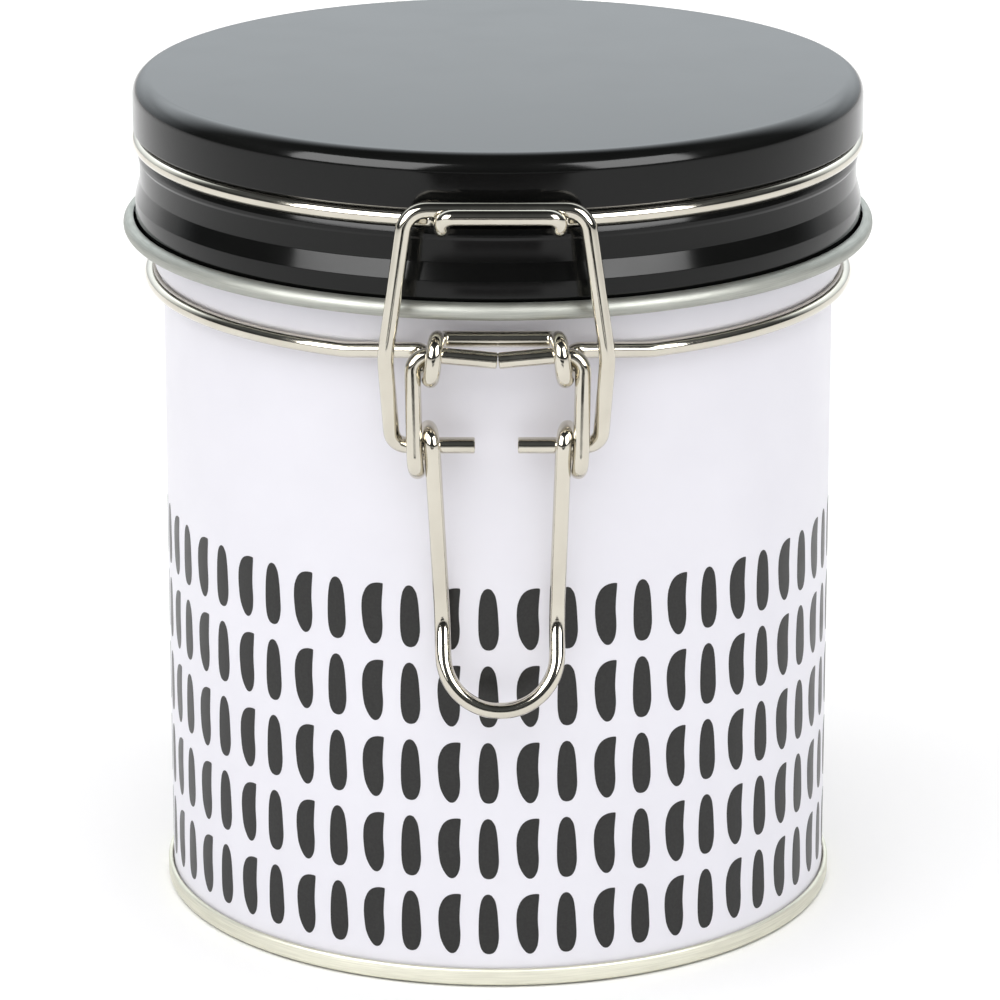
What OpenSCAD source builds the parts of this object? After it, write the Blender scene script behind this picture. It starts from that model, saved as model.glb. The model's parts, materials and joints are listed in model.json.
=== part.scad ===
// Round storage tin for coffee, with a hinged lid and a wire swing clasp.
// +Z is up, -Y is the clasp side, +Y is the hinge side.
// The origin is the centre of the base, on the surface that the tin stands on.

/* [Tin] */
// Outer diameter of the body wall
body_d = 99; // [98:0.5:100]
// Overall height, from the base to the top of the lid
total_h = 124; // [123.5:0.5:125]
// Thickness of the tinplate
sheet_t = 0.25; // [0.2:0.01:0.3]
// Height of the double seam round the base
seam_h = 2.6; // [2.4:0.1:3]
// How far the body bulges out above the body wire
bead_out = 1.3; // [1:0.1:1.4]

/* [Lid] */
// Radius of the rounded edge of the lid's top
lid_edge_r = 2.7; // [2:0.1:3.5]
// Diameter of the rolled edge at the foot of the lid
curl_d = 2.5; // [2.3:0.1:2.6]

/* [Wire] */
// Diameter of the wire in all four wire parts
wire_d = 2.3; // [2.2:0.05:2.35]
// Play between a pin and the eye that runs round it
pin_play = 0.08; // [0.06:0.01:0.1]

/* [Clasp] */
// Height of the lever's pivot above the base
lever_z = 95.9; // [95.7:0.1:96]
// Height of the bail's pivot above the base, with the clasp shut
bail_z = 82.5; // [82:0.1:83]
// Height of the bail's top bar above the base, with the clasp shut
bar_z = 117; // [116.9:0.1:117.1]
// Height of the lowest part of the handle
handle_z = 44; // [42:0.5:48]
// Inside width of the handle's U
handle_w = 13.7; // [13:0.1:14]

/* [Hidden] */
$fn = 64;

body_r = body_d / 2;
wire_r = wire_d / 2;
half_t = sheet_t / 2;
// Bends and rings are this much thicker than the straight wire that runs into their ends
sleeve = 0.02;
overlap = 0.1;
// Radius of an eye's centre line round a pin
coil_r = wire_d + pin_play;
// Bend radius at an eye's corners, just under the eye's own radius
coil_bend = coil_r - 0.08;

// Heights and radii of the lid, measured down from its top
lid_wire_z = total_h - 9.3;
lid_wire_ring_r = body_r + 3.15;
curl_z = total_h - 22;
curl_r = body_r + 4.55;
band_r = body_r + 4.1;
lid_neck_r = body_r + 3.3;
lid_skirt_r = body_r + 3.9;

// The body's rim stops short of the lid's underside, and the gasket fills the space
rim_z = total_h - 4;
rim_curl_r = 0.95;
gasket_gap = 0.3;

// The body wire hangs under the body's bead
body_wire_z = 94.5;
body_wire_ring_r = body_r + 1.65;

// The clasp's pivots and bars, as distances in front of the tin's axis
lever_out = body_r + 5.4;
bail_out = body_r + 3.8;
bar_out = body_r + 6.55;
catch_out = body_r + 9.2;
catch_z = bar_z - 0.4;
catch_half_w = 8.05;
link_x = 11.9;
leg_x = 9.2;
handle_x = (handle_w + wire_d) / 2;

// The hinge sits as far back as the catch sits forward, so the origin is mid-depth
hinge_y = catch_out - coil_r;
hinge_z = 96.8;
hinge_half_w = 13.5;
hinge_arm_x = 9;

function unit(v) = v / norm(v);
function mirrored(p) = [for (i = [len(p) - 1 : -1 : 0]) [-p[i][0], p[i][1], p[i][2]]];
function reversed(p) = [for (i = [len(p) - 1 : -1 : 0]) p[i]];
function turn_at(p, i) = acos(max(-1, min(1, unit(p[i] - p[i - 1]) * unit(p[i + 1] - p[i]))));
// Distance from a corner of a path to where its bend starts
function reach(p, r, i) = i == 0 || i == len(p) - 1 ? 0 : r[i] * tan(turn_at(p, i) / 2);
// Points of an arc in a profile, by its centre, radius and angles
function arc(centre, r, from, to, step = 30) =
    let (n = ceil(abs(to - from) / step))
    [for (i = [0 : n]) centre + r * [cos(from + (to - from) * i / n), sin(from + (to - from) * i / n)]];

// The offset of point i of a sheet's centre line to one side, mitred at the corner
function side_point(p, i, d) =
    let (last = len(p) - 1,
         before = i > 0 ? unit(p[i] - p[i - 1]) : unit(p[1] - p[0]),
         after = i < last ? unit(p[i + 1] - p[i]) : before,
         along = unit(before + after),
         across = [-along[1], along[0]])
    p[i] + across * d / (along * before);

// Sheet metal turned round the tin's axis, from its centre line
module turned_sheet(p) {
    left = [for (i = [0 : len(p) - 1]) side_point(p, i, half_t)];
    right = [for (i = [len(p) - 1 : -1 : 0]) side_point(p, i, -half_t)];
    rotate_extrude() polygon(concat(left, right));
}

module placed(origin, x_dir, z_dir) {
    y_dir = cross(z_dir, x_dir);
    multmatrix([
        [x_dir[0], y_dir[0], z_dir[0], origin[0]],
        [x_dir[1], y_dir[1], z_dir[1], origin[1]],
        [x_dir[2], y_dir[2], z_dir[2], origin[2]],
        [0, 0, 0, 1]])
    children();
}

module straight_wire(a, b) {
    dir = unit(b - a);
    side = unit(cross(dir, abs(dir[2]) < 0.9 ? [0, 0, 1] : [1, 0, 0]));
    placed(a, side, dir) cylinder(d = wire_d, h = norm(b - a));
}

module wire_bend(before, corner, after, r) {
    a = unit(corner - before);
    b = unit(after - corner);
    turn = acos(a * b);
    normal = unit(cross(a, b));
    inward = cross(normal, a);
    centre = corner - a * r * tan(turn / 2) + inward * r;
    placed(centre, -inward, normal)
    rotate_extrude(angle = turn) translate([r, 0]) circle(d = wire_d + sleeve);
}

// Wire bent round the corners of path p, with bend radius r[i] at corner i
module bent_wire(p, r) {
    last = len(p) - 1;
    for (i = [1 : last - 1]) wire_bend(p[i - 1], p[i], p[i + 1], r[i]);
    for (i = [0 : last - 1]) {
        dir = unit(p[i + 1] - p[i]);
        from = reach(p, r, i);
        to = norm(p[i + 1] - p[i]) - reach(p, r, i + 1);
        assert(to - from > -0.001, str("bends overlap after corner ", i));
        start = from - (i > 0 ? overlap : 0);
        end = to + (i < last - 1 ? overlap : 0);
        straight_wire(p[i] + dir * start, p[i] + dir * end);
    }
}

// Arc of wire round the tin's axis, from one angle to another, seen from above
module wire_arc(r, z, from, to) {
    translate([0, 0, z]) rotate([0, 0, from])
    rotate_extrude(angle = to - from) translate([r, 0]) circle(d = wire_d + sleeve);
}

// A point on a ring round the axis, with x as given, at the front (side -1) or the back (side 1)
function on_ring(r, z, x, side) = [x, side * sqrt(r * r - x * x), z];
// The same point moved along the ring's tangent until x is next_x
function along_tangent(r, z, x, side, next_x) =
    let (y = side * sqrt(r * r - x * x))
    [next_x, y + (x - next_x) * x / y, z];
// Where a path leaves the ring: a little inside the end of the ring's arc
function from_ring(r, z, x, side) =
    let (a = on_ring(r, z, x, side), b = along_tangent(r, z, x, side, x - 1))
    a - unit(b - a) * overlap;

// Body wall with the bead above the wire and the inward curl at the rim
module body_shell() {
    wall_r = body_r - half_t;
    bead_r = wall_r + bead_out;
    bead_top = curl_z - 1.8;
    color("white") {
        turned_sheet(concat(
            [[wall_r, 0.45],
             [wall_r, body_wire_z - 0.3],
             [bead_r, body_wire_z + 1.7],
             [bead_r, bead_top],
             [wall_r, bead_top + 1.4]],
            arc([body_r - rim_curl_r, rim_z - rim_curl_r], rim_curl_r - half_t, 0, 300)));
        side_weld();
    }
}

// Lapped and welded joint down the back of the body wall
module side_weld() {
    lap_angle = 3.4;
    lap_t = 0.12;
    bottom = seam_h + 0.4;
    rotate([0, 0, 90 - lap_angle / 2]) rotate_extrude(angle = lap_angle)
    translate([body_r - half_t, bottom]) square([half_t + lap_t, body_wire_z - 2 - bottom]);
}

// Bottom end: a sunk panel with one stiffening step, joined to the wall by the double seam
module bottom_end() {
    panel_z = seam_h + 0.8;
    chuck_r = body_r - 0.5;
    outer_r = body_r + 0.72;
    hook_r = body_r + 0.3;
    floor_z = half_t;
    corner = 0.27;
    color("silver") turned_sheet([
        [0, panel_z - 0.9],
        [body_r - 14, panel_z - 0.9],
        [body_r - 12.6, panel_z],
        [chuck_r - 1, panel_z],
        [chuck_r, panel_z - 0.9],
        [chuck_r, floor_z + corner],
        [chuck_r + corner, floor_z],
        [outer_r - corner, floor_z],
        [outer_r, floor_z + corner],
        [outer_r, seam_h - half_t - corner],
        [outer_r - corner / 2, seam_h - half_t],
        [hook_r + corner / 2, seam_h - half_t],
        [hook_r, seam_h - half_t - corner],
        [hook_r, 1.2]]);
}

// Ring of wire round the body, with two eyes and a bar in front and the hinge bar behind
module body_wire() {
    r = body_wire_ring_r;
    z = body_wire_z;
    front_x = 23.4;
    back_x = 17;
    pivot = [0, -lever_out, lever_z];
    c = coil_r;
    front = [
        from_ring(r, z, front_x, -1),
        along_tangent(r, z, front_x, -1, front_x - 2),
        pivot + [10.1, c, 0.15],
        pivot + [9.75, c, -c],
        pivot + [9.2, -c, -c],
        pivot + [8.7, -c, c],
        pivot + [8.4, 0.4, c],
        pivot + [8.1, 2.2, 1.8]];
    front_bends = [0, 10, 1.25, 1.25, coil_bend, coil_bend, 1.6, 1.35];
    back = [
        from_ring(r, z, back_x, 1),
        along_tangent(r, z, back_x, 1, hinge_half_w),
        [hinge_half_w, hinge_y, hinge_z]];
    back_bends = [0, 2.2, 2.2];
    front_angle = asin(front_x / r);
    back_angle = asin(back_x / r);
    color("gainsboro") {
        bent_wire(concat(front, mirrored(front)), concat(front_bends, reversed(front_bends)));
        bent_wire(concat(back, mirrored(back)), concat(back_bends, reversed(back_bends)));
        wire_arc(r, z, front_angle - 90, 90 - back_angle);
        wire_arc(r, z, 90 + back_angle, 270 - front_angle);
    }
}

// Pressed lid: rounded top, band, wire groove, stepped skirt and the outward curl
module lid_shell() {
    top_z = total_h - half_t;
    band_c = band_r - half_t;
    neck_c = lid_neck_r - half_t;
    skirt_c = lid_skirt_r - half_t;
    edge_c = lid_edge_r - half_t;
    groove_r = wire_r + sleeve + 0.04 + half_t;
    color("black") turned_sheet(concat(
        [[0, top_z]],
        arc([band_c - edge_c, top_z - edge_c], edge_c, 90, 0, 18),
        [[band_c, lid_wire_z + 1.7]],
        arc([lid_wire_ring_r, lid_wire_z], groove_r, 75, 270),
        [[neck_c + 0.2, lid_wire_z - 2.1],
         [neck_c + 0.2, lid_wire_z - 2.5],
         [neck_c, lid_wire_z - 2.9],
         [neck_c, curl_z + 6.2],
         [neck_c + 0.42, curl_z + 5.3],
         [skirt_c, curl_z + 4.1],
         [skirt_c, curl_z + 1.7]],
        arc([curl_r, curl_z], curl_d / 2 - half_t, 160, 460)));
}

// Flat ring that the body's rim closes on
module lid_gasket() {
    outer_r = band_r - lid_edge_r;
    inner_r = body_r - 2.6;
    top = total_h - sheet_t;
    bottom = rim_z + gasket_gap;
    bevel = 0.5;
    color("whitesmoke") rotate_extrude() polygon([
        [inner_r, bottom + bevel],
        [inner_r + bevel, bottom],
        [outer_r - bevel, bottom],
        [outer_r, bottom + bevel],
        [outer_r, top],
        [inner_r, top]]);
}

// Ring of wire in the lid's groove, with the catch loop in front and two hinge eyes behind
module lid_wire() {
    r = lid_wire_ring_r;
    z = lid_wire_z;
    front_x = 11;
    back_x = 12.5;
    pivot = [0, hinge_y, hinge_z];
    c = coil_r;
    arm = catch_half_w;
    front = [
        from_ring(r, z, front_x, -1),
        along_tangent(r, z, front_x, -1, arm),
        [arm, 1 - catch_out, z - 0.7],
        [arm, -catch_out, catch_z]];
    front_bends = [0, 2, 1.5, 1.5];
    back = [
        from_ring(r, z, back_x, 1),
        along_tangent(r, z, back_x, 1, hinge_arm_x),
        [hinge_arm_x, body_r + 6.1, z],
        pivot + [hinge_arm_x, c, c + 1.6],
        pivot + [hinge_arm_x - 0.4, c, -c],
        pivot + [hinge_arm_x - 1.1, -c, -c],
        pivot + [hinge_arm_x - 1.8, -c, c],
        pivot + [hinge_arm_x - 2.5, c, c],
        pivot + [hinge_arm_x - 2.8, c, 0]];
    back_bends = [0, 1.9, 1.9, 4, coil_bend, coil_bend, coil_bend, coil_bend, 0];
    front_angle = asin(front_x / r);
    back_angle = asin(back_x / r);
    color("gainsboro") {
        bent_wire(concat(front, mirrored(front)), concat(front_bends, reversed(front_bends)));
        for (side = [0, 1]) mirror([side, 0, 0]) bent_wire(back, back_bends);
        wire_arc(r, z, front_angle - 90, 90 - back_angle);
        wire_arc(r, z, 90 + back_angle, 270 - front_angle);
    }
}

// Lever: two pins through the body wire's eyes, two links, two eyes and the U-shaped handle
module clasp_lever() {
    pivot = [0, -lever_out, lever_z];
    low = [0, -bail_out, bail_z];
    c = coil_r;
    pin_end = 0.1;
    half = [
        pivot + [pin_end, 0, 0],
        pivot + [link_x, 0, 0],
        low + [link_x - 0.4, -c - 0.15, -c],
        low + [link_x - 1.2, c, -c],
        low + [link_x - 1.95, c, c],
        low + [leg_x, -c - 0.55, c],
        [handle_x + 0.1, -body_r - 1.1, handle_z + 14],
        [handle_x, -body_r - 6, handle_z]];
    half_bends = [0, 2.2, coil_bend, coil_bend, coil_bend, 2, 14, handle_x - 0.05];
    color("gainsboro")
    bent_wire(concat(half, mirrored(half)), concat(half_bends, reversed(half_bends)));
}

// Bail: a six-sided loop whose two ends turn in as pins through the lever's eyes
module clasp_bail() {
    low = [0, -bail_out, bail_z];
    high = [0, -bar_out, bar_z];
    knee_up = (lever_z - 0.4 - bail_z) / (bar_z - bail_z);
    knee = low + (high - low) * knee_up;
    half = [
        low + [3, 0, 0],
        low + [15.1, 0, 0],
        knee + [15.4, 0, 0],
        high + [12.4, 0, 0]];
    half_bends = [0, 2.2, 10, 3.2];
    color("gainsboro")
    bent_wire(concat(half, mirrored(half)), concat(half_bends, reversed(half_bends)));
}

body_shell();
bottom_end();
body_wire();
lid_shell();
lid_gasket();
lid_wire();
clasp_lever();
clasp_bail();
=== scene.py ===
import json
import math

import bmesh
import bpy
import numpy as np
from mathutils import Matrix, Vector


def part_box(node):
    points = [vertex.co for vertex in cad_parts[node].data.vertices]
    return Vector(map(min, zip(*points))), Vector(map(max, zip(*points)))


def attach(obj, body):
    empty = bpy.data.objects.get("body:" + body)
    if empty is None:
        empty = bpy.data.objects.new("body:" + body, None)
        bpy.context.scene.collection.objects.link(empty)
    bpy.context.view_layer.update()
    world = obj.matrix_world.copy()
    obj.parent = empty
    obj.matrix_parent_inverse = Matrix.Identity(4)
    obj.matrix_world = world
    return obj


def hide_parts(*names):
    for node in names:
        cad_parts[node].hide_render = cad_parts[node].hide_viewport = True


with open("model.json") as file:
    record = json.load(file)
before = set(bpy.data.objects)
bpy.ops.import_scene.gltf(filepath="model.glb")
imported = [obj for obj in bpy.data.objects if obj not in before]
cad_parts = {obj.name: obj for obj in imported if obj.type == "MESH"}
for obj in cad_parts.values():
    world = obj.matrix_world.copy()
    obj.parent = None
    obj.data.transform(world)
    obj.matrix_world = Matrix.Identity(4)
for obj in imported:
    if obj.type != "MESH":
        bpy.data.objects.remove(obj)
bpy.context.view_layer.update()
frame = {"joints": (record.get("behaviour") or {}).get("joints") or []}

# Lengths are in millimetres until mesh_object() turns them into metres.
# +Z is up, -Y is the clasp side, +Y the hinge side, and the origin is the centre of the base.
MM = 0.001
JOINTS = {joint["name"]: joint for joint in frame["joints"]}


def top_of(node):
    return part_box(node)[1][2] / MM


def pivot_of(joint):
    """A joint's place, as a point on the middle plane."""
    return np.array([0.0, JOINTS[joint]["pos_m"][1] / MM, JOINTS[joint]["pos_m"][2] / MM])


# Sheet metal: the bead's height over the wall, the body's outer radius, and the levels of its edges
BEAD_OUT = 1.3
BODY_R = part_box("body_shell")[1][0] / MM - BEAD_OUT
TOP_Z = top_of("lid_shell")
RIM_Z = top_of("body_shell")
SEAM_H = top_of("bottom_end") - 0.925
SHEET_T = 0.25
HALF_T = SHEET_T / 2

# Wire: its radius, its eyes (half their size, and how round their corners are), and the joints' axes
WIRE_R = 1.15
EYE_R = 2.38
EYE_BEND = 2.3
LEVER = pivot_of("lever_pivot")
BAIL = pivot_of("bail_swing")
HINGE = pivot_of("lid_hinge")
# Heights and radii of the two wire rings and of the lid's curl, then the bail's bar, the catch and the handle
LID_WIRE_Z, LID_WIRE_R = TOP_Z - 9.3, BODY_R + 3.15
BODY_WIRE_Z, BODY_WIRE_R = 94.5, BODY_R + 1.65
CURL_Z, CURL_R = TOP_Z - 22, BODY_R + 4.52
BAR = np.array([0.0, -(BODY_R + 6.55), 117.0])
CATCH_Y, CATCH_Z = -(BODY_R + 9.2), 116.6
HANDLE_X, HANDLE_Z = 8.0, 44.0


# ---------------------------------------------------------------- materials


class Look:
    """A material with a Principled shader, and short forms for the nodes that drive it."""

    def __init__(self, name, **sockets):
        self.material = bpy.data.materials.new(name)
        self.material.use_nodes = True
        self.nodes = self.material.node_tree.nodes
        self.links = self.material.node_tree.links
        self.shader = self.nodes["Principled BSDF"]
        for socket, value in sockets.items():
            self.shader.inputs[socket.replace("_", " ")].default_value = value

    def noise(self, scale, detail=3.0, stretch=(1, 1, 1)):
        """Noise in the object's own space, with so many features a metre, 0 to 1."""
        coords = self.nodes.new("ShaderNodeTexCoord")
        mapping = self.nodes.new("ShaderNodeMapping")
        mapping.inputs["Scale"].default_value = stretch
        noise = self.nodes.new("ShaderNodeTexNoise")
        noise.inputs["Scale"].default_value = scale
        noise.inputs["Detail"].default_value = detail
        self.links.new(coords.outputs["Object"], mapping.inputs["Vector"])
        self.links.new(mapping.outputs["Vector"], noise.inputs["Vector"])
        return noise.outputs["Fac"]

    def vary(self, socket, noise, low, high):
        """Drives a number on the shader from the noise."""
        spread = self.nodes.new("ShaderNodeMapRange")
        spread.inputs["From Min"].default_value = 0.3
        spread.inputs["From Max"].default_value = 0.7
        spread.inputs["To Min"].default_value = low
        spread.inputs["To Max"].default_value = high
        self.links.new(noise, spread.inputs["Value"])
        self.links.new(spread.outputs["Result"], self.shader.inputs[socket])

    def colours(self, noise, first, second):
        """Drives the base colour between two colours."""
        ramp = self.nodes.new("ShaderNodeValToRGB")
        ramp.color_ramp.elements[0].position = 0.3
        ramp.color_ramp.elements[1].position = 0.7
        ramp.color_ramp.elements[0].color = (*first, 1)
        ramp.color_ramp.elements[1].color = (*second, 1)
        self.links.new(noise, ramp.inputs["Fac"])
        self.links.new(ramp.outputs["Color"], self.shader.inputs["Base Color"])

    def bump(self, noise, height, strength=1.0):
        bump = self.nodes.new("ShaderNodeBump")
        bump.inputs["Strength"].default_value = strength
        bump.inputs["Distance"].default_value = height
        self.links.new(noise, bump.inputs["Height"])
        self.links.new(bump.outputs["Normal"], self.shader.inputs["Normal"])


def white_lacquer():
    """Satin white enamel: faintly cloudy, with the slight waviness of stoved lacquer."""
    look = Look("white_lacquer", Specular_IOR_Level=0.25)
    look.colours(look.noise(70), (0.795, 0.785, 0.840), (0.820, 0.810, 0.865))
    look.vary("Roughness", look.noise(160), 0.30, 0.38)
    look.bump(look.noise(700, 2.0), 0.00001, 0.3)
    return look.material


def print_ink():
    """Charcoal ink over the enamel, with a fine speckle."""
    look = Look("print_ink", Specular_IOR_Level=0.3)
    look.colours(look.noise(2600, 2.0), (0.019, 0.0187, 0.018), (0.026, 0.0255, 0.0245))
    look.vary("Roughness", look.noise(300), 0.28, 0.36)
    return look.material


def black_lacquer():
    """Gloss black enamel with a soft waviness and a faint haze."""
    look = Look("black_lacquer", IOR=1.34)
    look.colours(look.noise(45), (0.0040, 0.0042, 0.0040), (0.0060, 0.0062, 0.0058))
    look.vary("Roughness", look.noise(90), 0.10, 0.16)
    look.bump(look.noise(420, 2.0), 0.000006, 0.25)
    return look.material


def bare_tinplate(name, dull, bright):
    """Matte tinplate with fine rolling marks that run round the tin."""
    look = Look(name, Metallic=1.0)
    grain = look.noise(1.0, 4.0, (160, 160, 7000))
    look.colours(grain, dull, bright)
    look.vary("Roughness", look.noise(420), 0.50, 0.58)
    look.bump(grain, 0.000008, 0.35)
    return look.material


def nickel_wire():
    """Bright, warm nickel plating over drawn wire, with duller patches and fine drawing marks."""
    look = Look("nickel_wire", Metallic=1.0)
    look.colours(look.noise(140), (0.60, 0.565, 0.485), (0.67, 0.635, 0.55))
    look.vary("Roughness", look.noise(380), 0.06, 0.13)
    look.bump(look.noise(1500, 3.0), 0.000006, 0.3)
    return look.material


def silicone():
    """Milky silicone with a soft, dusty surface."""
    look = Look("gasket_silicone", Subsurface_Weight=0.25, Subsurface_Scale=0.002)
    look.colours(look.noise(220), (0.70, 0.70, 0.68), (0.78, 0.78, 0.76))
    look.vary("Roughness", look.noise(500), 0.45, 0.6)
    look.bump(look.noise(2500, 2.0), 0.00002, 0.4)
    return look.material


WHITE = white_lacquer()
INK = print_ink()
BLACK = black_lacquer()
TINPLATE = bare_tinplate("bare_tinplate", (0.34, 0.35, 0.32), (0.44, 0.445, 0.41))
# The seam's tinplate is the same metal as the bare tinplate, made brighter: painted light for the floor's
# light on the seam.
SEAM_TINPLATE_PAINTED_LIGHT = bare_tinplate("seam_tinplate_painted_light", (0.62, 0.61, 0.52), (0.75, 0.74, 0.64))
NICKEL = nickel_wire()
SILICONE = silicone()


# ---------------------------------------------------------------- meshes


def mesh_object(name, vertices, faces, materials, slots=None, sharp=40):
    """An object from vertices in millimetres, shaded smooth except at edges sharper than the angle."""
    mesh = bpy.data.meshes.new(name)
    mesh.from_pydata((np.array(vertices) * MM).tolist(), [], faces)
    for material in materials:
        mesh.materials.append(material)
    if slots:
        mesh.polygons.foreach_set("material_index", slots)
    mesh.polygons.foreach_set("use_smooth", [True] * len(faces))
    solid = bmesh.new()
    solid.from_mesh(mesh)
    bmesh.ops.recalc_face_normals(solid, faces=solid.faces)
    solid.to_mesh(mesh)
    solid.free()
    mesh.set_sharp_from_angle(angle=math.radians(sharp))
    piece = bpy.data.objects.new(name, mesh)
    bpy.context.scene.collection.objects.link(piece)
    return piece


def joined(piece, body, slot=None, *nodes):
    """Puts a piece on its body, in place of the CAD nodes that it stands for."""
    if nodes:
        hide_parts(*nodes)
    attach(piece, body)


def unit(v):
    return v / np.linalg.norm(v)


def rounded(path, bends, step=8):
    """The path, in 2D or 3D, with an arc of radius bends[i] at point i. Its two ends have none."""
    points = [np.array(p, float) for p in path]
    out = [points[0]]
    for i in range(1, len(points) - 1):
        a = unit(points[i] - points[i - 1])
        b = unit(points[i + 1] - points[i])
        turn = math.acos(max(-1.0, min(1.0, float(a @ b))))
        if bends[i] <= 0 or turn < 0.01:
            out.append(points[i])
            continue
        inward = (b - a * math.cos(turn)) / math.sin(turn)
        centre = points[i] - a * bends[i] * math.tan(turn / 2) + inward * bends[i]
        count = max(2, math.ceil(math.degrees(turn) / step))
        for k in range(count + 1):
            t = turn * k / count
            out.append(centre + bends[i] * (a * math.sin(t) - inward * math.cos(t)))
    out.append(points[-1])
    return out


def arc(centre, radius, start, end, step=8):
    """Points of an arc in a profile, by its angles in degrees."""
    turns = np.radians(np.linspace(start, end, max(3, math.ceil(abs(end - start) / step) + 1)))
    return [np.array([centre[0] + radius * math.cos(t), centre[1] + radius * math.sin(t)]) for t in turns]


def sheet_sides(path):
    """The two faces of a sheet, from its centre line: (left of the path's direction, right of it)."""
    path = [p for i, p in enumerate(path) if i == 0 or np.linalg.norm(p - path[i - 1]) > 1e-4]
    left, right = [], []
    for i, p in enumerate(path):
        before = unit(p - path[i - 1]) if i else unit(path[1] - p)
        after = unit(path[i + 1] - p) if i < len(path) - 1 else before
        along = unit(before + after)
        across = np.array([-along[1], along[0]]) * HALF_T / float(along @ before)
        left.append(p + across)
        right.append(p - across)
    return left, right


def turned(name, outline, materials, slots, segments=256):
    """A closed (radius, z) outline turned round the tin's axis, with a material index for each edge."""
    vertices, rings, faces, face_slots = [], [], [], []
    turns = [2 * math.pi * k / segments for k in range(segments)]
    for r, z in outline:
        first = len(vertices)
        if r < 1e-6:
            rings.append([first] * segments)
            vertices.append((0, 0, z))
        else:
            rings.append(list(range(first, first + segments)))
            vertices += [(r * math.cos(t), r * math.sin(t), z) for t in turns]
    for i, low in enumerate(rings):
        high = rings[(i + 1) % len(rings)]
        for k in range(segments):
            n = (k + 1) % segments
            face = list(dict.fromkeys([low[k], low[n], high[n], high[k]]))
            if len(face) > 2:
                faces.append(face)
                face_slots.append(slots[i])
    return mesh_object(name, vertices, faces, materials, face_slots)


def turned_sheet(name, path, left_material, right_material):
    """Sheet metal turned round the axis from its centre line. A cut end takes the second material."""
    left, right = sheet_sides(path)
    slots = [0] * (len(left) - 1) + [1] * (len(right) + 1)
    return turned(name, left + right[::-1], [left_material, right_material], slots)


# ---------------------------------------------------------------- the tin's body


def body_shell():
    """The wall, with a bead that the wire sits under and a rim curled inward. Bare inside, white outside."""
    wall, foot = BODY_R - HALF_T, 0.45
    bead = wall + BEAD_OUT
    bead_start, bead_foot = BODY_WIRE_Z - 0.3, BODY_WIRE_Z + 1.7
    bead_top, bead_run_in = CURL_Z - 1.8, 1.4
    rim_r, rim_turn = 0.95, 300
    side = rounded(
        [[wall, foot], [wall, bead_start], [bead, bead_foot], [bead, bead_top],
         [wall, bead_top + bead_run_in], [wall, RIM_Z - rim_r]],
        [0, 1.2, 1.0, 0.8, 0.8, 0])
    rim = arc([BODY_R - rim_r, RIM_Z - rim_r], rim_r - HALF_T, 0, rim_turn)
    sheet = turned_sheet("body_shell", side[:-1] + rim, TINPLATE, WHITE)
    joined(sheet, "tin", "white_lacquer", "body_shell")


def side_weld():
    """The welded lap down the back: a bare, unprinted strip with a raised weld line along its middle."""
    low, high = SEAM_H + 0.5, BODY_WIRE_Z - 2.6
    half_turn, columns = 2.6, 25
    strip_proud, weld_proud, weld_share, sunk = 0.035, 0.08, 0.22, -0.05
    heights = np.linspace(low, high, 12)
    angles = np.radians(np.linspace(-half_turn, half_turn, columns))
    vertices, faces = [], []
    for depth in (0, 1):
        for z in heights:
            for i, a in enumerate(angles):
                across = abs(i - columns // 2) / (columns // 2)
                weld = weld_proud * math.exp(-(across / weld_share) ** 2)
                proud = strip_proud + weld if 0 < i < columns - 1 else 0.0
                r = BODY_R + (proud if depth else sunk)
                vertices.append((r * math.sin(a), r * math.cos(a), z))
    rows, last, top = len(heights), columns - 1, len(heights) - 1

    def at(depth, row, column):
        return (depth * rows + row) * columns + column

    for j in range(rows - 1):
        for i in range(last):
            faces.append([at(1, j, i), at(1, j, i + 1), at(1, j + 1, i + 1), at(1, j + 1, i)])
            faces.append([at(0, j, i), at(0, j + 1, i), at(0, j + 1, i + 1), at(0, j, i + 1)])
        faces.append([at(0, j, 0), at(1, j, 0), at(1, j + 1, 0), at(0, j + 1, 0)])
        faces.append([at(0, j, last), at(0, j + 1, last), at(1, j + 1, last), at(1, j, last)])
    for i in range(last):
        faces.append([at(0, 0, i), at(0, 0, i + 1), at(1, 0, i + 1), at(1, 0, i)])
        faces.append([at(0, top, i), at(1, top, i), at(1, top, i + 1), at(0, top, i + 1)])
    joined(mesh_object("side_weld", vertices, faces, [TINPLATE]), "tin", "bare_tinplate")


def bottom_end():
    """The pressed bottom: a panel with a raised border, and the double seam round the body's foot."""
    panel, dish = SEAM_H + 0.8, 0.9
    dish_r, border_r = BODY_R - 14, BODY_R - 12.6
    chuck = BODY_R - 0.5
    outer = BODY_R + 0.72
    hook, hook_end = BODY_R + 0.3, 1.2
    path = rounded(
        [[0, panel - dish], [dish_r, panel - dish], [border_r, panel], [chuck - 1, panel],
         [chuck, panel - dish], [chuck, HALF_T], [outer, HALF_T], [outer, SEAM_H - HALF_T],
         [hook, SEAM_H - HALF_T], [hook, hook_end]],
        [0, 0.8, 0.8, 0.4, 0.4, 0.3, 0.42, 0.3, 0.12, 0], 15)
    # The seam takes the brighter copy of the tinplate: painted light on the seam.
    sheet = turned_sheet("bottom_end", path, SEAM_TINPLATE_PAINTED_LIGHT, SEAM_TINPLATE_PAINTED_LIGHT)
    joined(sheet, "tin", "bare_tinplate", "bottom_end")


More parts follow.
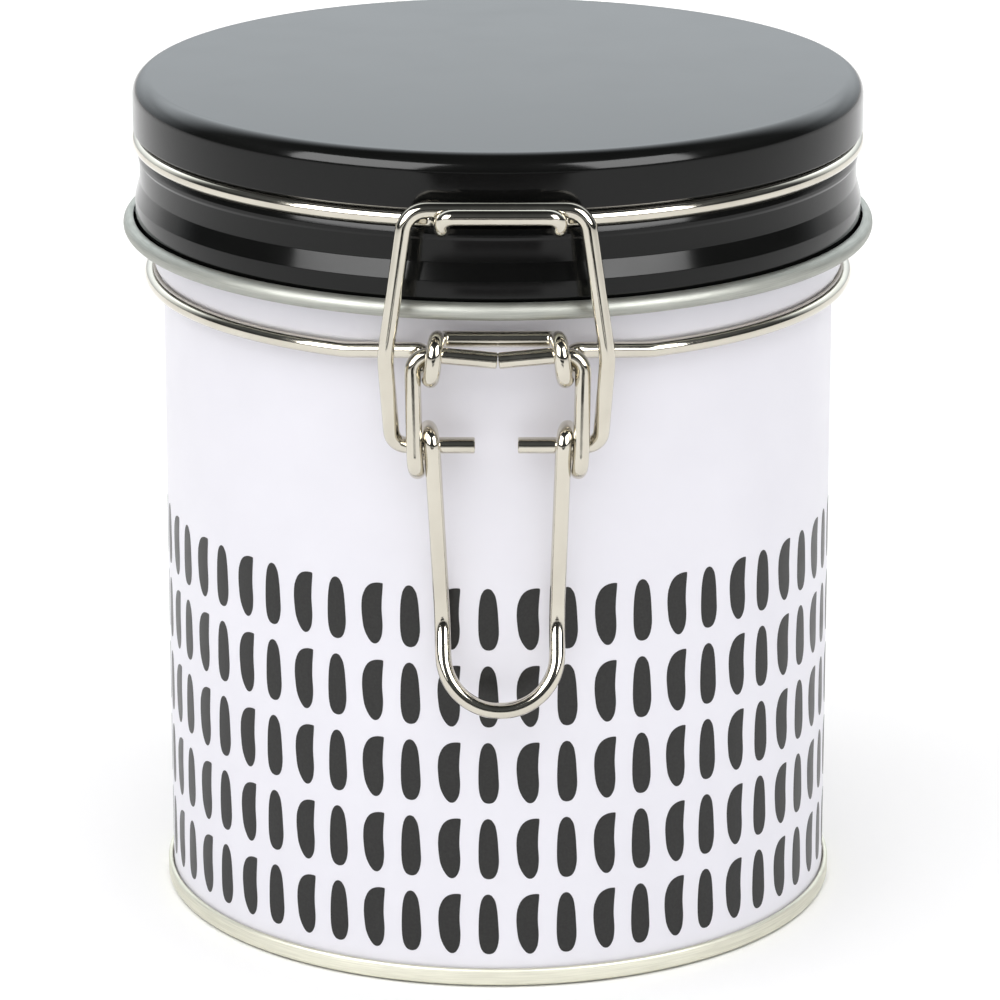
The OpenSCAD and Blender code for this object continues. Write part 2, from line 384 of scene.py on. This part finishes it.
# Outlines of the two printed shapes, clockwise from the top, as (across, up) from the shape's middle.
BEAN = [
    (1.46, 4.46), (1.60, 4.25), (1.54, 3.35), (1.45, 2.25), (1.40, 0.90), (1.43, 0.00), (1.50, -0.95),
    (1.53, -1.75), (1.48, -2.60), (1.34, -3.40), (1.00, -4.10), (0.65, -4.42), (0.32, -4.50),
    (-0.02, -4.42), (-0.40, -4.10), (-0.90, -3.35), (-1.33, -2.25), (-1.53, -0.90), (-1.62, 0.20),
    (-1.62, 1.05), (-1.50, 2.20), (-1.05, 3.35), (-0.52, 3.98), (0.05, 4.30), (0.70, 4.46)]
OVAL = [
    (-0.08, 4.50), (0.30, 4.38), (0.56, 4.12), (0.95, 3.42), (1.18, 2.20), (1.30, 0.90), (1.36, -0.10),
    (1.42, -1.10), (1.43, -2.25), (1.21, -3.45), (0.82, -4.18), (0.42, -4.43), (0.02, -4.50),
    (-0.38, -4.43), (-0.78, -4.18), (-1.17, -3.45), (-1.38, -2.25), (-1.43, -0.90), (-1.42, 0.10),
    (-1.39, 1.00), (-1.30, 2.20), (-1.07, 3.45), (-0.72, 4.15), (-0.44, 4.40)]


def smooth_outline(points, parts=2):
    """A closed curve through the points."""
    points = np.array(points)
    out = []
    for i in range(len(points)):
        p0, p1, p2, p3 = (points[(i + k) % len(points)] for k in (-1, 0, 1, 2))
        for k in range(parts):
            t = k / parts
            out.append(0.5 * (2 * p1 + (p2 - p0) * t + (2 * p0 - 5 * p1 + 4 * p2 - p3) * t**2
                              + (3 * p1 - p0 - 3 * p2 + p3) * t**3))
    return out


def bean_print():
    """Five rows of printed shapes round the wall, an oval and a bean by turns, left off over the weld."""
    rows, row_pitch, first_row = 5, 11.57, 9.28
    shapes, pitch, first = 53, 6.545, -171.70
    proud, sunk, size = 0.03, -0.03, 1.024
    rings = [(1.0, sunk), (1.0, proud), (0.66, proud), (0.33, proud)]
    vertices, faces = [], []

    def on_wall(turn, height, out):
        r = BODY_R + out
        vertices.append((r * math.sin(turn), -r * math.cos(turn), height))

    for row in range(rows):
        z = first_row + row * row_pitch
        for n in range(shapes):
            outline = smooth_outline(BEAN if n % 2 else OVAL)
            middle = math.radians(first + n * pitch)
            count, base = len(outline), len(vertices)
            for share, out in rings:
                for across, up in outline:
                    on_wall(middle + share * size * across / BODY_R, z + share * size * up, out)
            front = len(vertices)
            on_wall(middle, z, proud)
            on_wall(middle, z, sunk)
            inner = front - count
            for k in range(count):
                m = (k + 1) % count
                for a in range(base, inner, count):
                    faces.append([a + k, a + count + k, a + count + m, a + m])
                faces.append([inner + k, front, inner + m])
                faces.append([base + m, front + 1, base + k])
    joined(mesh_object("bean_print", vertices, faces, [INK]), "tin")


# ---------------------------------------------------------------- the lid


def lid_shell():
    """The pressed lid: lacquered outside and bare inside, so the rolled edge at its foot shows bare metal."""
    top = TOP_Z - HALF_T
    band, neck, skirt = BODY_R + 4.1 - HALF_T, BODY_R + 3.25 - HALF_T, BODY_R + 3.95 - HALF_T
    edge, curl_r = 2.7 - HALF_T, 1.25 - HALF_T
    groove = WIRE_R + 0.06 + HALF_T
    band_foot = LID_WIRE_Z + 1.7
    lip, lip_top, lip_low, lip_foot = neck + 0.2, LID_WIRE_Z - 2.1, LID_WIRE_Z - 2.5, LID_WIRE_Z - 2.9
    ledge_top, ledge_foot, skirt_foot = CURL_Z + 6.6, CURL_Z + 4.0, CURL_Z + 1.7
    upper = [np.array([0.0, top])] + arc([band - edge, top - edge], edge, 90, 0, 5)
    channel = arc([LID_WIRE_R, LID_WIRE_Z], groove, 75, 270)
    curl = arc([CURL_R, CURL_Z], curl_r, 160, 460)
    into_channel = rounded([upper[-1], [band, band_foot], channel[0]], [0, 0.2, 0])
    foot = rounded(
        [channel[-2], channel[-1], [lip, lip_top], [lip, lip_low], [neck, lip_foot], [neck, ledge_top],
         [skirt, ledge_foot], [skirt, skirt_foot], curl[0]],
        [0, 0.15, 0.2, 0.2, 0.2, 0.5, 0.5, 0.4, 0])
    path = upper[:-1] + into_channel[:-1] + channel[:-2] + foot[:-1] + curl
    sheet = turned_sheet("lid_shell", path, BLACK, TINPLATE)
    joined(sheet, "lid", "black_lacquer", "lid_shell")


def lid_gasket():
    """The sealing ring under the lid's top, with two shallow lips where the rim presses."""
    inner, outer = BODY_R - 2.6, BODY_R + 1.4
    low, top = RIM_Z + 0.3, TOP_Z - SHEET_T
    dip = low + 0.35
    profile = [
        [inner, top], [inner, low], [inner + 1.3, low], [inner + 1.6, dip], [inner + 2.4, dip],
        [inner + 2.7, low], [outer, low], [outer, top]]
    outline = rounded(profile, [0, 0.45, 0.2, 0.2, 0.2, 0.2, 0.45, 0], 15)
    gasket = turned("lid_gasket", outline, [SILICONE], [0] * len(outline))
    joined(gasket, "lid", "gasket_rubber", "lid_gasket")


# ---------------------------------------------------------------- wire


def evenly(points, spacing):
    """Points at an even spacing along a path."""
    points = np.array(points)
    far = np.r_[0, np.cumsum(np.linalg.norm(np.diff(points, axis=0), axis=1))]
    at = np.linspace(0, far[-1], round(far[-1] / spacing) + 1)
    return np.stack([np.interp(at, far, points[:, k]) for k in range(3)], axis=1)


def eased(points, spacing, spread):
    """The path with its corners eased as bent wire's are, and its ends kept."""
    reach = math.ceil(3 * spread / spacing)
    weights = np.exp(-0.5 * (np.arange(-reach, reach + 1) * spacing / spread) ** 2)
    before = 2 * points[0] - points[reach:0:-1]
    after = 2 * points[-1] - points[-2:-reach - 2:-1]
    padded = np.vstack([before, points, after])
    weights /= weights.sum()
    return np.stack([np.convolve(padded[:, k], weights, "valid") for k in range(3)], axis=1)


def thinned(points, tolerance):
    """The path with the points left out that lie within the tolerance of the chord between those kept."""
    keep = np.zeros(len(points), bool)
    keep[[0, -1]] = True
    spans = [(0, len(points) - 1)]
    while spans:
        a, b = spans.pop()
        if b - a < 2:
            continue
        chord = unit(points[b] - points[a])
        offsets = points[a + 1:b] - points[a]
        gaps = np.linalg.norm(offsets - np.outer(offsets @ chord, chord), axis=1)
        if gaps.max() > tolerance:
            middle = a + 1 + int(gaps.argmax())
            keep[middle] = True
            spans += [(a, middle), (middle, b)]
    return points[keep]


def wire(name, path, body, node, spread=0.4, sides=28):
    """Round wire along a path of points, with cut ends that have a small bevel."""
    spacing, bevel, tolerance = 0.15, 0.14, 0.002
    points = thinned(eased(evenly(path, spacing), spacing, spread), tolerance)
    steps = np.diff(points, axis=0)
    steps /= np.linalg.norm(steps, axis=1)[:, None]
    along = np.vstack([steps[:1], steps[:-1] + steps[1:], steps[-1:]])
    along /= np.linalg.norm(along, axis=1)[:, None]
    across = unit(np.cross(along[0], [0.2, 0.3, 1.0]))
    rings = []
    for i, (point, direction) in enumerate(zip(points, along)):
        across = unit(across - direction * float(across @ direction))
        if i == 0:
            rings.append((point, direction, across, WIRE_R - bevel))
            rings.append((point + direction * bevel, direction, across, WIRE_R))
        elif i == len(points) - 1:
            rings.append((point - direction * bevel, direction, across, WIRE_R))
            rings.append((point, direction, across, WIRE_R - bevel))
        elif min(np.linalg.norm(point - points[0]), np.linalg.norm(point - points[-1])) > 2 * bevel:
            rings.append((point, direction, across, WIRE_R))
    vertices, faces = [], []
    for point, direction, across, radius in rings:
        other = np.cross(direction, across)
        for k in range(sides):
            t = 2 * math.pi * k / sides
            vertices.append(point + radius * (across * math.cos(t) + other * math.sin(t)))
    for i in range(len(rings) - 1):
        for k in range(sides):
            n = (k + 1) % sides
            faces.append([i * sides + k, i * sides + n, (i + 1) * sides + n, (i + 1) * sides + k])
    faces.append(list(range(sides)))
    faces.append([(len(rings) - 1) * sides + k for k in range(sides)])
    joined(mesh_object(name, vertices, faces, [NICKEL], sharp=35), body, "nickel_wire", node)


def mirrored(points):
    """The path's mirror image across the middle plane, run backwards."""
    return [np.array([-p[0], p[1], p[2]]) for p in reversed(points)]


def on_ring(radius, z, x, side):
    """A point of a ring round the axis, by x, at the front (side -1) or the back (side 1)."""
    return np.array([x, side * math.sqrt(radius**2 - x**2), z])


def along_tangent(radius, z, x, side, to_x):
    """The ring's point at x, moved along its tangent to to_x."""
    y = side * math.sqrt(radius**2 - x**2)
    return np.array([to_x, y + (x - to_x) * x / y, z])


def ring_arc(radius, z, start_x, end_x):
    """The right half of a ring, from x = start_x in front to x = end_x behind."""
    start = math.asin(start_x / radius) - math.pi / 2
    end = math.pi / 2 - math.asin(end_x / radius)
    turns = np.linspace(start, end, 400)
    return [np.array([radius * math.cos(t), radius * math.sin(t), z]) for t in turns]


def share(distance, whole):
    """A distance as a share of the whole, held to 0..1."""
    return min(1.0, max(0.0, distance / whole))


def body_wire():
    """Ring under the body's bead: an eye and a bar for the lever in front, and the hinge bar behind."""
    r, z, c = BODY_WIRE_R, BODY_WIRE_Z, EYE_R
    front_x, front_run, back_x, arm_x = 23.4, 21.4, 17, 13.5
    eye_drop = 1.0
    bar_y, bar_z = 2.2, 1.8
    front = rounded(
        [on_ring(r, z, front_x, -1), along_tangent(r, z, front_x, -1, front_run),
         LEVER + [10.1, c, 0.15], LEVER + [9.75, c, -c - eye_drop], LEVER + [9.2, -c, -c - eye_drop],
         LEVER + [8.7, -c, c], LEVER + [8.4, 0.4, c], LEVER + [8.1, bar_y, bar_z],
         LEVER + [0, bar_y, bar_z]],
        [0, 10, 1.25, 1.25, EYE_BEND, EYE_BEND, 1.6, 1.35, 0])
    back = rounded(
        [on_ring(r, z, back_x, 1), along_tangent(r, z, back_x, 1, arm_x),
         HINGE + [arm_x, 0, 0], HINGE + [0.03, 0, 0]],
        [0, 2.2, 2.2, 0])
    half = back[::-1] + ring_arc(r, z, front_x, back_x)[-2:0:-1] + front
    wire("body_wire", half + mirrored(half[:-1]), "tin", "body_wire")


def lid_wire():
    """Ring in the lid's groove: the catch loop in front, and a hinge eye at each end behind."""
    r, z, c = LID_WIRE_R, LID_WIRE_Z, EYE_R
    front_x, catch_x, back_x, arm_x = 11, 8.05, 12.5, 9
    lean, lean_start, lean_length = 0.4, 3.3, 2
    front = rounded(
        [on_ring(r, z, front_x, -1), along_tangent(r, z, front_x, -1, catch_x),
         [catch_x, CATCH_Y + 1.7, z - 0.4], [catch_x, CATCH_Y, CATCH_Z], [0, CATCH_Y, CATCH_Z]],
        [0, 2, 1.5, 1.5, 0])
    back = rounded(
        [on_ring(r, z, back_x, 1), along_tangent(r, z, back_x, 1, arm_x), [arm_x, BODY_R + 6.1, z],
         HINGE + [arm_x, c, c + 1.6], HINGE + [8.6, c, -c], HINGE + [7.9, -c, -c],
         HINGE + [7.2, -c, c], HINGE + [6.5, c, c], HINGE + [6.2, c, 0]],
        [0, 1.9, 1.9, 4, EYE_BEND, EYE_BEND, EYE_BEND, EYE_BEND, 0])
    half = back[::-1] + ring_arc(r, z, front_x, back_x)[-2:0:-1] + front
    path = half + mirrored(half[:-1])
    path = [p + [lean * share(-p[1] - BODY_R - lean_start, lean_length), 0, 0] for p in path]
    wire("lid_wire", path, "lid", "lid_wire", spread=0.35)


def clasp_lever():
    """Two pins that meet in a shallow V, two links, an eye at the foot of each, and the U-shaped handle."""
    c = EYE_R
    sag, pin_x, link_x = 0.7, 7.6, 11.9
    handle_y, heel_y, heel_z = -BODY_R - 6, -BODY_R - 1.15, HANDLE_Z + 12.7
    lean, lean_start, lean_length = 0.35, 75, 25
    half = rounded(
        [LEVER + [0.1, 0, -sag], LEVER + [pin_x, 0, 0], LEVER + [link_x, 0, 0],
         BAIL + [11.5, -c - 0.15, -c - 1.8], BAIL + [10.7, c, -c - 0.8],
         BAIL + [9.95, c, c], BAIL + [9.2, -c - 0.55, c], [HANDLE_X + 0.1, heel_y, heel_z],
         [HANDLE_X, handle_y, HANDLE_Z], [0, handle_y, HANDLE_Z]],
        [0, 6, 2.2, EYE_BEND, EYE_BEND, EYE_BEND, 2, 9, HANDLE_X - 0.05, 0])
    path = half + mirrored(half[:-1])
    path = [p + [lean * share(lean_start - p[2], lean_length), 0, 0] for p in path]
    wire("clasp_lever", path, "lever", "clasp_lever")


def clasp_bail():
    """Six-sided loop over the catch, with its two ends turned in through the lever's eyes."""
    end_x, corner_x, knee_x, bar_x, aside = 3, 14.5, 15.4, 12.4, -0.2
    rise, height = LEVER[2] - 0.4 - BAIL[2], BAR[2] - BAIL[2]
    knee = BAIL + (BAR - BAIL) * rise / height + [0, -2.2, 0.65]
    half = rounded(
        [BAIL + [end_x, 0, 0], BAIL + [corner_x, 0, 0], knee + [knee_x, 0, 0],
         BAR + [bar_x, 0, 0], BAR],
        [0, 2.2, 10, 3.2, 0])
    path = [p + [aside, 0, 0] for p in half + mirrored(half[:-1])]
    wire("clasp_bail", path, "bail", "clasp_bail")


body_shell()
side_weld()
bottom_end()
bean_print()
lid_shell()
lid_gasket()
body_wire()
lid_wire()
clasp_lever()
clasp_bail()


# ---------------------------------------------------------------- studio


def stage_mesh(name, make, place, colour):
    """A flat stage object with a plain matt finish."""
    mesh = bpy.data.meshes.new(name)
    shape = bmesh.new()
    make(shape)
    shape.to_mesh(mesh)
    shape.free()
    item = bpy.data.objects.new(name, mesh)
    item.location = place
    bpy.context.scene.collection.objects.link(item)
    look = Look(name, Roughness=1.0, Specular_IOR_Level=0.0)
    look.shader.inputs["Base Color"].default_value = (*colour, 1)
    mesh.materials.append(look.material)
    return item


def studio_floor():
    """A pale round floor, just under the tin."""
    def make(mesh):
        bmesh.ops.create_circle(mesh, cap_ends=True, segments=128, radius=6)

    stage_mesh("studio_floor", make, (0, 0, -0.0002), (0.90, 0.90, 0.90))


def camera_shade():
    """Two dark patches of floor in front of the tin, for the dark that the photo's gloss and wire reflect.

    Only reflections see them: the camera and the diffuse light don't, and they cast no shadow.
    """
    # Each patch as (half width, y) at its near edge and at its far edge, in metres
    patches = [((0.09, -0.385), (0.10, -0.462)), ((0.17, -0.51), (0.75, -1.5))]

    def make(mesh):
        for (near_x, near_y), (far_x, far_y) in patches:
            corners = [(-near_x, near_y, 0), (-far_x, far_y, 0), (far_x, far_y, 0), (near_x, near_y, 0)]
            mesh.faces.new([mesh.verts.new(corner) for corner in corners])

    shade = stage_mesh("camera_shade", make, (0, 0, 0.001), (0.01, 0.01, 0.01))
    shade.visible_camera = False
    shade.visible_diffuse = False
    shade.visible_shadow = False


def softbox(name, place, size, power, aim=(0, 0, 0.1), spread=180, lights_surfaces=True,
            seen_in_gloss=True):
    """A rectangular area light. It may light surfaces, be seen in their gloss, or both."""
    light = bpy.data.lights.new(name, "AREA")
    light.shape = "RECTANGLE"
    light.size, light.size_y = size
    light.energy = power
    light.spread = math.radians(spread)
    lamp = bpy.data.objects.new(name, light)
    lamp.location = place
    lamp.rotation_euler = (Vector(aim) - Vector(place)).to_track_quat("-Z", "Y").to_euler()
    lamp.visible_camera = False
    lamp.visible_diffuse = lights_surfaces
    lamp.visible_glossy = seen_in_gloss
    bpy.context.scene.collection.objects.link(lamp)


def studio_world():
    """Soft white light from all round. Reflections see a room bright behind the tin and dark in front."""
    world = bpy.data.worlds.new("studio")
    bpy.context.scene.world = world
    world.use_nodes = True
    nodes, links = world.node_tree.nodes, world.node_tree.links
    soft = nodes["Background"]
    soft.inputs["Color"].default_value = (1, 1, 1, 1)
    soft.inputs["Strength"].default_value = 0.75
    room, mix = nodes.new("ShaderNodeBackground"), nodes.new("ShaderNodeMixShader")
    path, coords = nodes.new("ShaderNodeLightPath"), nodes.new("ShaderNodeTexCoord")
    split, height = nodes.new("ShaderNodeSeparateXYZ"), nodes.new("ShaderNodeValToRGB")
    behind, strength = nodes.new("ShaderNodeMapRange"), nodes.new("ShaderNodeMath")
    strength.operation = "MULTIPLY"
    height.color_ramp.interpolation = "EASE"
    brightness_by_height = ((0.0, 0.30), (0.27, 0.55), (0.46, 1.0), (0.80, 0.7), (0.97, 0.25))
    for place, level in brightness_by_height:
        element = height.color_ramp.elements.new(place)
        element.color = (level, level, level, 1)
    height.color_ramp.elements.remove(height.color_ramp.elements[0])
    height.color_ramp.elements.remove(height.color_ramp.elements[-1])
    behind.interpolation_type = "SMOOTHSTEP"
    behind.inputs["From Min"].default_value = 0.25
    behind.inputs["From Max"].default_value = 0.75
    behind.inputs["To Min"].default_value = 0.10
    behind.inputs["To Max"].default_value = 2.7
    room.inputs["Color"].default_value = (0.90, 0.96, 1.0, 1)
    links.new(coords.outputs["Generated"], split.inputs[0])
    links.new(split.outputs["Z"], height.inputs["Fac"])
    links.new(split.outputs["Y"], behind.inputs["Value"])
    links.new(height.outputs["Color"], strength.inputs[0])
    links.new(behind.outputs["Result"], strength.inputs[1])
    links.new(strength.outputs["Value"], room.inputs["Strength"])
    links.new(path.outputs["Is Glossy Ray"], mix.inputs["Fac"])
    links.new(soft.outputs[0], mix.inputs[1])
    links.new(room.outputs[0], mix.inputs[2])
    links.new(mix.outputs[0], nodes["World Output"].inputs["Surface"])


def camera():
    """A long lens from in front and above, at the photograph's angle."""
    eye, tilt = (0.0003, -0.780, 0.299), 17.167
    sensor, focal_ratio = 36, 5.4339
    lens = bpy.data.cameras.new("camera")
    lens.sensor_width = sensor
    lens.lens = sensor * focal_ratio
    lens.clip_start = 0.05
    lens.dof.use_dof = False
    item = bpy.data.objects.new("camera", lens)
    item.location = eye
    item.rotation_euler = (math.radians(90 - tilt), 0, 0)
    bpy.context.scene.collection.objects.link(item)
    bpy.context.scene.camera = item


studio_floor()
camera_shade()
studio_world()
softbox(
    "overhead", place=(-0.25, -0.63, 1.05), size=(2.1, 1.5), power=12.5, aim=(-0.25, -0.63, 0),
    seen_in_gloss=False)
softbox(
    "over_backdrop", place=(0, 1.0, 1.1), size=(2.4, 0.9), power=5.5, aim=(0, 0.9, 0), spread=90,
    seen_in_gloss=False)
softbox(
    "left_window", place=(-0.94, -0.94, 0.78), size=(1.13, 1.05), power=31, lights_surfaces=False)
softbox(
    "right_window", place=(0.94, -0.94, 0.78), size=(0.86, 1.05), power=24, lights_surfaces=False)
camera()
bpy.context.scene.view_settings.view_transform = "Standard"
